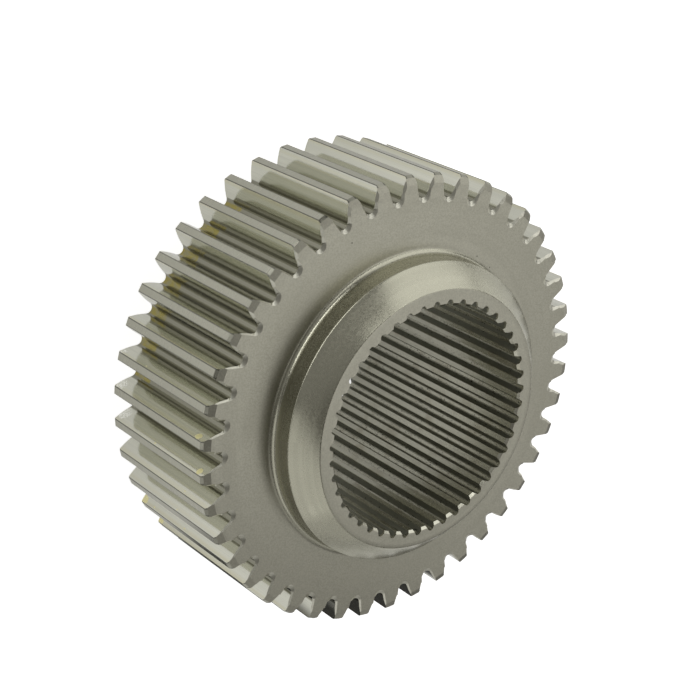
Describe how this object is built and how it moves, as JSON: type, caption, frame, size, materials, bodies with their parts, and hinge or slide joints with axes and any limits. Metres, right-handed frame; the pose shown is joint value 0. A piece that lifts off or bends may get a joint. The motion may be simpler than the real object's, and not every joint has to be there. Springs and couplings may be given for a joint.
{
  "type": "sun gear",
  "caption": "Straight-toothed sun gear with a chamfered hub on each side and an involute-splined bore that slides onto a shaft.",
  "frame": {"origin": "centre of the back hub's end face, on the gear axis, which is the bottom of the part as it stands", "axes": "+Z along the gear axis, from the back hub up to the front hub; +X through the middle of a tooth"},
  "size_m": [0.22, 0.2196, 0.115],
  "materials": {
    "ground_steel": "satin ground steel, darker in the tooth roots"
  },
  "bodies": {
    "root": {"sun_gear": "ground_steel"}
  },
  "joints": []
}
